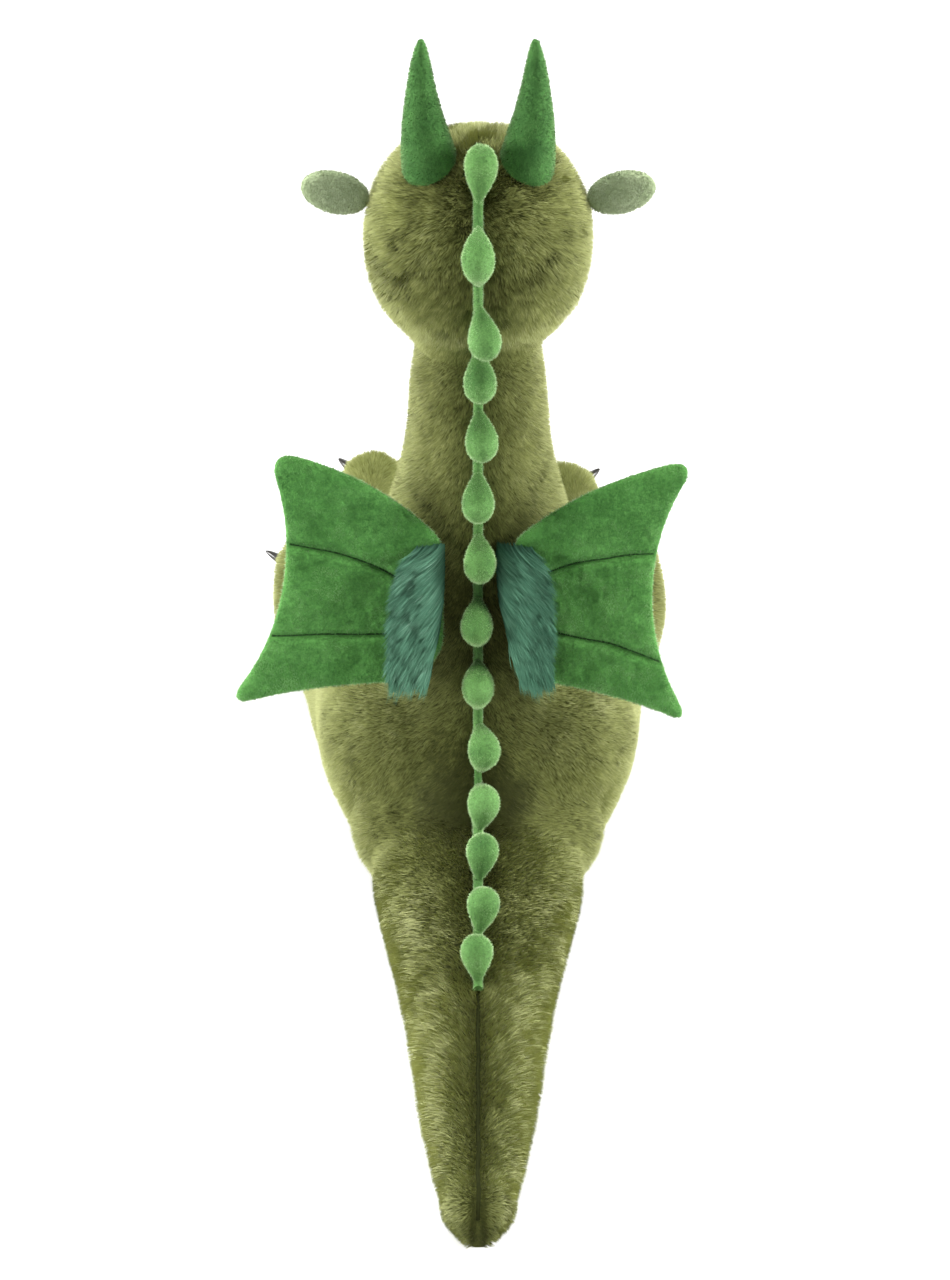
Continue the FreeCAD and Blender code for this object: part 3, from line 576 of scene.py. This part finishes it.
def body_keep(points):
    """Leave out the belly, the muzzle and the seat."""
    x, y, z = points.T
    belly = (np.abs(x) < BELLY_HALF_WIDTH) & (y < -0.01) & (z > BELLY_FOOT) & (z < BELLY_TOP)
    nose = (y < -0.062) & (np.abs(x) < NOSE_HALF_WIDTH) & (z > NOSE_FOOT) & (z < NOSE_TOP)
    seat = (z < 0.006) & (np.abs(x) < SEAT_HALF_WIDTH)
    return np.where(belly | nose | seat, 0.0, 1.0)


def body_reach(points):
    """Longer pile on the tail and head, and shorter in the seams of the neck and the tail."""
    x, y, z = points.T
    neck = np.exp(-((z - 0.343 + 0.1 * (y + 0.01)) / 0.004) ** 2)
    middle = np.exp(-(x / 0.003) ** 2) * eased(y, 0.2, 0.24)
    full = 1 + 0.4 * eased(y, 0.1, 0.2) + 0.22 * eased(z, 0.34, 0.37)
    return (full - 0.45 * eased(y, 0.28, 0.36)) * (1 - 0.5 * neck - 0.6 * middle)


skin_tree = tree_of(body_skin)
# A dark cord along the middle of the tail, just under the pile's tips: the seam's painted shadow.
seam_line = []
for y in np.linspace(0.212, 0.367, 40):
    hit = skin_tree.ray_cast(Vector((0, y, 0.3)), Vector((0, 0, -1)))[0]
    seam_line.append((0.0003 * math.sin(y * 190), y, hit.z + 0.0007))
sewn("tail_seam_shadow", seam_line, 0.0011, seam_shadow_cord, "plush_body")

furred("body_pile", body_skin, 570000, PILE_LENGTH, flow_body, "plush_body", 11, body_keep, body_reach,
       pieces=3)

belly = remeshed("belly_cover", gathered("belly_cover", ["belly_panel"]), voxel=0.0022, rounds=4)
clothed(belly, sage_velvet, "plush_body", ["belly_panel"])
short_pile("belly_nap", belly, 26000, 0.0022, 0.0006, sage_pile, "plush_body", 21,
           keep=lambda p: np.where(np.abs(p[:, 0]) < 0.03, 1.0, 0.0))

muzzle_mesh = gathered("muzzle_skin", ["muzzle_cover", "muzzle_filling"])
muzzle = remeshed("muzzle_skin", muzzle_mesh, voxel=0.0028, rounds=6)
clothed(muzzle, sage_velvet, "plush_body", ["muzzle_cover"])
short_pile("muzzle_nap", muzzle, 24000, 0.0022, 0.0006, sage_pile, "plush_body", 23)


# ---------------------------------------------------------------- arms and legs

# How far from the middle a tucked thigh draws together, and where its pile begins.
THIGH_INNER = 0.0587
THIGH_PILE_INNER = 0.0595
TOE_ROLL = {"left": 0.0, "right": -22.0}


def toe_bulges(side):
    """Where the toes swell at the top of a foot."""
    sign = SIDES[side]
    low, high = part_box(f"leg_sole_{side}")
    middle = (low + high) / 2
    half = (high - low) / 2
    spots = []
    for turn in (-8, 36, 78):
        angle = math.radians(turn + TOE_ROLL[side])
        spots.append(Vector((middle.x + sign * math.sin(angle) * half.x * 0.9, low.y + 0.014,
                             middle.z + math.cos(angle) * half.z * 0.74)))
    return spots


def flow_leg(points):
    """The way the pile lies on a leg: down it."""
    return np.broadcast_to(np.array([0.0, -0.25, -1.0]), points.shape)


def flow_arm(points):
    """The way the pile lies on an arm: down and towards the paw."""
    return np.broadcast_to(np.array([0.0, -0.7, -0.75]), points.shape)


for side, sign in SIDES.items():
    mesh = gathered(f"leg_skin_{side}", [f"leg_cover_{side}", f"leg_filling_{side}"])
    for spot in toe_bulges(side):
        with_ball(mesh, spot, (0.0125, 0.0135, 0.012))
    leg = remeshed(f"leg_skin_{side}", mesh, voxel=0.0035, rounds=5)
    rows = coordinates(leg)
    tucked = eased(-rows[:, 2], -0.078, -0.012) * eased(rows[:, 1], -0.07, 0.0)
    rows[:, 0] = sign * (THIGH_INNER + (rows[:, 0] * sign - THIGH_INNER) * (1 - 0.5 * tucked))
    place(leg, rows)
    low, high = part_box(f"leg_claws_{side}")
    drawn_in(leg, lambda rows: 0.003 * eased(distance(rows, [((low + high) / 2)[:]]), 0.012, 0.04))
    clothed(leg, olive_ground, f"leg_{side}", [f"leg_cover_{side}", f"leg_filling_{side}"])
    sole_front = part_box(f"leg_sole_{side}")[1].y
    inner = sign * THIGH_PILE_INNER

    def leg_keep(points):
        """Leave out what the sole and the hips hide."""
        hidden = (points[:, 1] < sole_front + 0.002) | ((points[:, 0] - inner) * sign < 0)
        return np.where(hidden, 0.0, 1.0)

    furred(f"leg_pile_{side}", leg, 130000, PILE_LENGTH, flow_leg, f"leg_{side}", 31 + int(sign), leg_keep)
    sole = remeshed(f"sole_{side}", gathered(f"sole_{side}", [f"leg_sole_{side}"]), voxel=0.0012, rounds=3)
    clothed(sole, sage_velvet, f"leg_{side}", [f"leg_sole_{side}"])
    short_pile(f"sole_nap_{side}", sole, 9000, 0.0018, 0.0006, sage_pile, f"leg_{side}", 41 + int(sign))

    mesh = gathered(f"arm_skin_{side}", [f"arm_cover_{side}", f"arm_filling_{side}"])
    low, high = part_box(f"arm_claws_{side}")
    for across in (-0.45, 0.0, 0.45):
        spot = ((low.x + high.x) / 2 + across * (high.x - low.x) / 2, high.y + 0.0035,
                (low.z + high.z) / 2 + 0.001)
        with_ball(mesh, spot, (0.0076, 0.0095, 0.0082))
    arm = remeshed(f"arm_skin_{side}", mesh, voxel=0.003, rounds=4)
    drawn_in(arm, 0.0024)
    clothed(arm, olive_ground, f"arm_{side}", [f"arm_cover_{side}", f"arm_filling_{side}"])
    furred(f"arm_pile_{side}", arm, 52000, ARM_PILE_LENGTH, flow_arm, f"arm_{side}", 51 + int(sign))
    for node in (f"leg_claws_{side}", f"arm_claws_{side}"):
        finished(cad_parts[node], claw_plastic)


# ---------------------------------------------------------------- wings

# The places of an outline and its seams are millimetres along the wing and up from the top of its root.
WING_POINTS = {
    "left": {"top": (101.5, 52), "brow": (46, 34), "waist": (87.9, -20), "bottom": (120.5, -97),
             "hem": (58, -84)},
    "right": {"top": (102, 57), "brow": (46, 35), "waist": (79.2, -20), "bottom": (107.5, -98.5),
              "hem": (58, -84)},
}
# The foot of the wing's free edge, and the foot of its sewn root above it.
WING_FOOT = (15.0, -81.0)
WING_ROOT_FOOT = (0.0, -62.0)
# How often the whole outline is evened out, and how often its tips are.
EVEN_TURNS, TIP_TURNS = 24, 180
WING_ROLL = {"left": 2.5, "right": -3.0}
WING_SEAMS = {
    "left": [[(26, -20), (40, -12), (58, -5), (74, -1), (92, 3)],
             [(32, -52), (50, -52), (67, -51), (84, -51), (101, -50)]],
    "right": [[(20, -17), (36, -11), (52, -8), (68, -5), (84, -4)],
              [(26, -52), (42, -55), (55, -57), (68, -61), (84, -67)]],
}
# The top of the left wing's root in the frame, in millimetres, and how far the wing sweeps and leans back.
WING_ORIGIN = (20.0, 36.611, 236.0)
WING_SWEEP = math.radians(8.0)
WING_LEAN = math.radians(17.93)
# In millimetres: half its thickness, how far its middle stands off its root, and how far it waves.
WING_HALF = 3.4
WING_STAND = 3.5
WING_WAVE = 0.9


def arc(start, through, end, count):
    """Points along the circle through three points, the last one left out."""
    a, b, c = (complex(*p) for p in (start, through, end))
    w = (c - a) / (b - a)
    middle = (b - a) * (w - abs(w) ** 2) / (2j * w.imag) + a
    first = a - middle
    half = np.angle((b - middle) / first)
    whole = np.angle((c - middle) / first)
    if half * whole < 0 or abs(whole) < abs(half):
        whole -= math.copysign(2 * math.pi, whole)
    return [middle + first * np.exp(1j * whole * k / count) for k in range(count)]


def wing_edge(side):
    """The wing's outline in millimetres, along the wing and up its root, with softened corners."""
    roll = complex(math.cos(math.radians(WING_ROLL[side])), math.sin(math.radians(WING_ROLL[side])))
    spot = {name: complex(*p) * roll for name, p in WING_POINTS[side].items()}
    pair = {name: (p.real, p.imag) for name, p in spot.items()}
    top, low, inner = (0.0, 0.0), WING_FOOT, WING_ROOT_FOOT
    line = arc(top, pair["brow"], pair["top"], 80) + arc(pair["top"], pair["waist"], pair["bottom"], 96)
    line += arc(pair["bottom"], pair["hem"], low, 80)
    line += [complex(low[0] * (1 - k / 20), low[1] + (inner[1] - low[1]) * k / 20) for k in range(20)]
    line += [complex(0, inner[1] * (1 - k / 40)) for k in range(40)]
    line = np.array(line)
    tip = np.minimum(np.abs(line - spot["top"]), np.abs(line - spot["bottom"]))
    loose = 0.25 * np.exp(-(tip / 11.0) ** 2)
    for turn in range(TIP_TURNS):
        share = 0.25 if turn < EVEN_TURNS else loose
        line = line + share * (np.roll(line, 1) + np.roll(line, -1) - 2 * line)
    return np.stack([line.real, line.imag], axis=1)


def to_line(points, line, closed):
    """The distance of each flat point from a line of points."""
    starts = line if closed else line[:-1]
    ends = np.roll(line, -1, axis=0) if closed else line[1:]
    best = np.full(len(points), 1e9)
    for a, b in zip(starts, ends):
        run = b - a
        t = np.clip(((points - a) @ run) / (run @ run), 0, 1)
        best = np.minimum(best, np.linalg.norm(points - a - t[:, None] * run, axis=1))
    return best


def smooth_line(points, count):
    """A smooth line of this many points through given ones."""
    points = np.array(points, float)
    t = np.linspace(0, len(points) - 1, count)
    rows = []
    for value in t:
        k = min(int(value), len(points) - 2)
        u = value - k
        p = [points[min(max(k + j, 0), len(points) - 1)] for j in (-1, 0, 1, 2)]
        rows.append(0.5 * (2 * p[1] + (p[2] - p[0]) * u + (2 * p[0] - 5 * p[1] + 4 * p[2] - p[3]) * u ** 2
                           + (3 * p[1] - p[0] - 3 * p[2] + p[3]) * u ** 3))
    return np.array(rows)


def inside_of(points, edge):
    """Which flat points lie inside a closed outline."""
    x, y = points[:, :1], points[:, 1:]
    a, b = edge, np.roll(edge, -1, axis=0)
    rising = (a[:, 1] > y) != (b[:, 1] > y)
    run = np.where(np.abs(b[:, 1] - a[:, 1]) < 1e-9, 1e-9, b[:, 1] - a[:, 1])
    return (rising & (x < a[:, 0] + (y - a[:, 1]) * (b[:, 0] - a[:, 0]) / run)).sum(axis=1) % 2 == 1


def wing_half(points, edge, seams, seed):
    """Half the wing's thickness in millimetres: puffed between its edge and its sewn channels."""
    inside = to_line(points, edge, True)
    full = np.sqrt(np.clip(1 - (1 - np.clip(inside / 8.5, 0, 1)) ** 2, 0, 1))
    for seam in seams:
        full = full * (1 - 0.9 * np.exp(-(to_line(points, seam, False) / 2.4) ** 2))
    flat = np.column_stack([points, np.zeros(len(points))])
    return WING_HALF * full * (0.86 + 0.1 * field(flat, 16.0, seed) + 0.05 * field(flat, 6.0, seed + 1))


def wing_ways(side):
    """Where a wing's root is, and its directions along, up and out of the cloth."""
    flip = np.array([SIDES[side], 1.0, 1.0])
    behind, rise = math.cos(WING_LEAN), math.sin(WING_LEAN)
    across = (math.cos(WING_SWEEP), math.sin(WING_SWEEP) * behind, math.sin(WING_SWEEP) * rise)
    up = (0.0, -rise, behind)
    normal = (-math.sin(WING_SWEEP), math.cos(WING_SWEEP) * behind, math.cos(WING_SWEEP) * rise)
    return [np.round(row, 4) * flip for row in (WING_ORIGIN, across, up, normal)]


def wing_middle(flat, ways):
    """The cloth's middle in millimetres at these flat places: a sheet that waves a little."""
    origin, across, up, normal = ways
    level = WING_STAND + WING_WAVE * field(np.column_stack([flat, np.zeros(len(flat))]), 60.0, 71)
    return origin + flat[:, :1] * across + flat[:, 1:] * up + level[:, None] * normal


def wing_faces(rings, count):
    """Faces over two layers of rings round a heart, which share their outermost ring."""
    layer = 1 + rings * count
    rim = layer - count
    under = np.concatenate([np.arange(rim) + layer, np.arange(rim, layer)])
    around = np.arange(count)
    following = np.roll(around, -1)
    faces = []
    for index, turned in ((np.arange(layer), False), (under, True)):
        made = [(index[0], index[1 + a], index[1 + b]) for a, b in zip(around, following)]
        for ring in range(rings - 1):
            near, far = 1 + ring * count, 1 + (ring + 1) * count
            made += [(index[near + a], index[far + a], index[far + b], index[near + b])
                     for a, b in zip(around, following)]
        faces += [tuple(int(i) for i in (face[::-1] if turned else face)) for face in made]
    return faces


def brushed(points):
    """Where a hand has stroked the nap lighter or darker."""
    return 0.2 * field(points, 0.028, 201) + 0.16 * field(points, 0.007, 202)


def build_wing(side):
    """A quilted wing of two layers that meet at its edge, with its sewn channels and its nap."""
    edge = wing_edge(side)
    seams = [smooth_line(s, 60) for s in WING_SEAMS[side]]
    seams = [s[inside_of(s, edge) & (to_line(s, edge, True) > 0.8)] for s in seams]
    heart = np.array([50.0, -25.0])
    rings, count = 78, len(edge)
    flat = [heart[None]] + [heart + (edge - heart) * (k / rings) for k in range(1, rings + 1)]
    flat = np.vstack(flat)
    half = wing_half(flat, edge, seams, 61 if side == "left" else 67)
    half[-count:] = 0.0
    ways = wing_ways(side)
    origin, across, up, normal = ways
    middle = wing_middle(flat, ways)
    top = middle + half[:, None] * normal
    low = middle - half[:, None] * normal
    points = np.vstack([top, low[:-count]]) * MM
    faces = wing_faces(rings, count)
    if side == "left":
        faces = [f[::-1] for f in faces]
    mesh = bpy.data.meshes.new(f"wing_{side}_quilted")
    mesh.from_pydata(points.tolist(), [], faces)
    mesh.validate()
    form = bmesh.new()
    form.from_mesh(mesh)
    bmesh.ops.recalc_face_normals(form, faces=form.faces)
    form.to_mesh(mesh)
    form.free()
    obj = linked(f"wing_{side}_quilted", mesh)
    for face in mesh.polygons:
        face.use_smooth = True
    clothed(obj, green_velvet, f"wing_{side}", [f"wing_front_{side}", f"wing_back_{side}"])

    def flattened(spots):
        """Places on the wing, along it and up its root, and how far each is from a sewn channel."""
        offset = spots / MM - origin
        plane = np.stack([offset @ across, offset @ up], axis=1)
        return plane, np.min([to_line(plane, seam, False) for seam in seams], axis=0)

    def keep(spots):
        """Less nap in the sewn channels."""
        return 0.3 + 0.7 * eased(flattened(spots)[1], 0.4, 2.2)

    def shade(spots):
        """Painted light and shade on the nap: a painted highlight along the edge, painted shade in the
        channels and towards the top, over the brushed tone.
        """
        plane, beside = flattened(spots)
        # A painted highlight along the edge.
        rim = np.exp(-(to_line(plane, edge[::3], True) / 2.8) ** 2)
        # Painted shade in the channels.
        crease_shade = np.exp(-(beside / 3.5) ** 2)
        return brushed(spots) - 0.34 * eased(plane[:, 1], -25.0, 25.0) + 0.55 * rim - 0.3 * crease_shade

    # Real stitched channels, their thread darkened as painted shade in the creases.
    for index, seam in enumerate(seams):
        sewn(f"wing_seam_{side}_{index + 1}", wing_middle(seam, ways) * MM, 0.0007, crease_shaded_green_thread,
             f"wing_{side}")
    short_pile(f"wing_nap_{side}", obj, WING_NAP_COUNT, 0.0019, NAP_WIDTH, green_pile, f"wing_{side}",
               73 + int(SIDES[side]), keep=keep, lean=0.8, shade=shade)


# Where a tuft starts, how wide it is above and below and how far its inner edge draws back, in millimetres
# along the wing, then how its hair sweeps above and below, and its tone.
TUFTS = {
    "left": {"inner": -1.0, "narrow": 15.0, "wide": 29.0, "recede": 8.0, "sweep": (1.2, 0.45),
             "tone": 0.5},
    # The right tuft is the same teal at a lower tone: painted shade.
    "right": {"inner": -10.0, "narrow": 20.0, "wide": 29.0, "recede": 14.0, "sweep": (1.1, 0.35),
              "tone": 0.3},
}


def build_tuft(side):
    """Long pile over the root of a wing: narrow at the top, fanning down and away from the back."""
    rng = np.random.default_rng(81 + int(SIDES[side]))
    origin, across, up, normal = wing_ways(side)
    shape = TUFTS[side]
    count = TUFT_COUNT
    share = rng.random(count) ** 0.85
    first = shape["inner"] + shape["recede"] * share ** 3
    spread = shape["narrow"] + (shape["wide"] - shape["narrow"]) * share ** 0.6
    spread = spread - shape["recede"] * share ** 3
    along_wing = first + spread * rng.random(count)
    drop = -2.0 - 64.0 * share + rng.normal(0, 1.0, count)
    height = 6.0 - 4.0 * eased(1.0 - along_wing, 0.0, 8.0) + rng.normal(0, 0.4, count)
    root = (origin + along_wing[:, None] * across + drop[:, None] * up + height[:, None] * normal) * MM
    out = np.broadcast_to(normal, root.shape)
    lock = np.stack([field(root, 0.005, 91 + k) for k in range(3)], axis=1)
    begin, end = shape["sweep"]
    sweep = (begin + (end - begin) * share)[:, None]
    along = -up * (1.15 - 0.5 * sweep) + across * sweep + lock * 0.07 + rng.normal(0, 0.07, root.shape)
    length = (0.024 + 0.0018 * field(root, 0.006, 95)) * rng.uniform(0.7, 1.15, count)
    length += 0.005 * eased(share, 0.7, 1.0) * np.clip(field(root, 0.0035, 97), -0.8, 1.0)
    tone = shape["tone"] + 0.1 * lock[:, 0] + rng.normal(0, 0.12, count)
    lean = 0.88 + 0.05 * field(root, 0.006, 96)
    width = rng.uniform(0.34, 0.6, count) * MM
    flapping = along_wing > TUFT_SPLIT
    for label, rows, body in ((f"wing_tuft_pile_{side}", flapping, f"wing_{side}"),
                              (f"wing_tuft_root_{side}", ~flapping, "plush_body")):
        hair = strands(label, root[rows], out[rows], along[rows], length[rows], width[rows], lean[rows],
                       tone[rows], teal_pile, rng, joints=4)
        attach(hair, body)
        if body != "plush_body":
            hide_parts(f"wing_tuft_{side}")


for side in SIDES:
    build_wing(side)
    build_tuft(side)


# ---------------------------------------------------------------- horns, ears and crest

def dressed(nodes, material, nap, label, count, length, body, seed, shade=None):
    """CAD pieces in their plush, with a short nap over them."""
    for node in nodes:
        finished(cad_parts[node], material)
    cover = linked("cover", gathered("cover", nodes))
    short_pile(label, cover, count, length, NAP_WIDTH, nap, body, seed, shade=shade)
    bpy.data.objects.remove(cover)


for side in SIDES:
    dressed([f"horn_{side}"], horn_velvet, horn_pile, f"horn_nap_{side}", 26000, 0.0018, "plush_body",
            101 + int(SIDES[side]))
    dressed([f"ear_back_{side}", f"ear_lining_{side}"], sage_velvet, sage_pile, f"ear_nap_{side}", 12000,
            0.0018, f"ear_{side}", 111 + int(SIDES[side]))
    finished(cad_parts[f"eye_{side}"], eye_plastic)

CREST = [f"crest_spike_{k:02d}" for k in range(1, 15)]


def painted_shade_by_height(points):
    """Painted shade and light: darker near the covers, where the strip runs between the spikes, and paler up
    the spikes.
    """
    height = np.array([(skin_tree.find_nearest(Vector(p))[3] or 0.0) for p in points])
    return -0.5 + 0.55 * eased(height, 0.0085, 0.017)


# The crest's nap gets painted shade low between the spikes and painted light higher up.
dressed(CREST, leaf_velvet, leaf_pile, "crest_nap", 60000, 0.0015, "plush_body", 121,
        shade=painted_shade_by_height)


# ---------------------------------------------------------------- face

surface = tree_of(muzzle)


def stitched(name, spots, thickness):
    """A thread laid over the muzzle through these places across and up it."""
    points = []
    for x, z in spots:
        hit = surface.ray_cast(Vector((x, -0.4, z)), Vector((0, 1, 0)))[0]
        if hit is not None:
            points.append((hit.x, hit.y - 0.0006, hit.z))
    sewn(name, points, thickness, thread, "plush_body")


nose_height = muzzle_high[2] - 0.014
mouth_height = (muzzle_low[2] + muzzle_high[2]) / 2 - 0.006
smile = [(0.021 * t, mouth_height + 0.007 * t * t) for t in np.linspace(-1, 1, 13)]
stitched("mouth_stitch", smile, 0.0008)
for side, sign in SIDES.items():
    nostril = [(sign * (0.011 + 0.0026 * math.sin(t)), nose_height + 0.0018 * math.cos(t))
               for t in np.linspace(-1.1, 1.1, 7)]
    stitched(f"nostril_stitch_{side}", nostril, 0.0009)


# ---------------------------------------------------------------- stage

def area_light(name, spot, aim, width, power):
    """A round soft lamp at a spot, turned to what it lights."""
    lamp = bpy.data.lights.new(name, "AREA")
    lamp.shape = "DISK"
    lamp.size = width
    lamp.energy = power
    obj = bpy.data.objects.new(name, lamp)
    obj.location = spot
    obj.rotation_euler = (Vector(aim) - Vector(spot)).to_track_quat("-Z", "Y").to_euler()
    bpy.context.scene.collection.objects.link(obj)
    return obj


scene = bpy.context.scene
scene.view_settings.view_transform = "Standard"

# The floor and the sky look white to the camera, and light the toy less.
floor_mesh = bpy.data.meshes.new("floor")
floor_mesh.from_pydata([(-6, -9, 0), (6, -9, 0), (6, 5, 0), (-6, 5, 0)], [], [(0, 1, 2, 3)])
floor = linked("floor", floor_mesh)
ground = Nodes("white sweep")
ground.shader.inputs["Base Color"].default_value = (0.9, 0.9, 0.9, 1.0)
ground.shader.inputs["Roughness"].default_value = 1.0
ground.shader.inputs["Specular IOR Level"].default_value = 0.0
ray = ground.add("ShaderNodeLightPath")
glow = ground.add("ShaderNodeMath", operation="MULTIPLY")
glow.inputs[1].default_value = FLOOR_GLOW
ground.link(ray.outputs["Is Camera Ray"], glow.inputs[0])
ground.shader.inputs["Emission Color"].default_value = (1.0, 1.0, 1.0, 1.0)
ground.link(glow.outputs[0], ground.shader.inputs["Emission Strength"])
floor.data.materials.append(ground.material)

world = bpy.data.worlds.new("studio")
scene.world = world
world.use_nodes = True
sky = world.node_tree
sky.nodes["Background"].inputs["Color"].default_value = (1.0, 1.0, 1.0, 1.0)
seen = sky.nodes.new("ShaderNodeLightPath")
level = sky.nodes.new("ShaderNodeMapRange")
level.inputs["To Min"].default_value = SKY_LEVEL
level.inputs["To Max"].default_value = 1.0
sky.links.new(seen.outputs["Is Camera Ray"], level.inputs["Value"])
sky.links.new(level.outputs["Result"], sky.nodes["Background"].inputs["Strength"])

middle = (0.0, 0.06, 0.2)
lamps = [
    area_light("left lamp", (1.9, 0.35, 0.75), middle, 1.1, 52),
    area_light("right lamp", (-1.9, 0.3, 0.9), middle, 1.1, 57),
    area_light("top lamp", (0.2, 0.1, 2.4), middle, 1.2, 40),
    area_light("front lamp", (0.3, -1.8, 1.3), middle, 1.4, 10),
]

camera_data = bpy.data.cameras.new("camera")
camera_data.lens = 150.7
camera_data.sensor_width = 36.0
camera_data.dof.use_dof = False
camera = bpy.data.objects.new("camera", camera_data)
scene.collection.objects.link(camera)
aim = Vector((0.0017, 0.06, 0.184))
back = Vector((0.0, math.cos(CAMERA_TILT), math.sin(CAMERA_TILT)))
camera.location = aim + back * CAMERA_DISTANCE
camera.rotation_euler = (-back).to_track_quat("-Z", "Y").to_euler()
camera_data.clip_start = 0.1
camera_data.clip_end = 30.0
scene.camera = camera
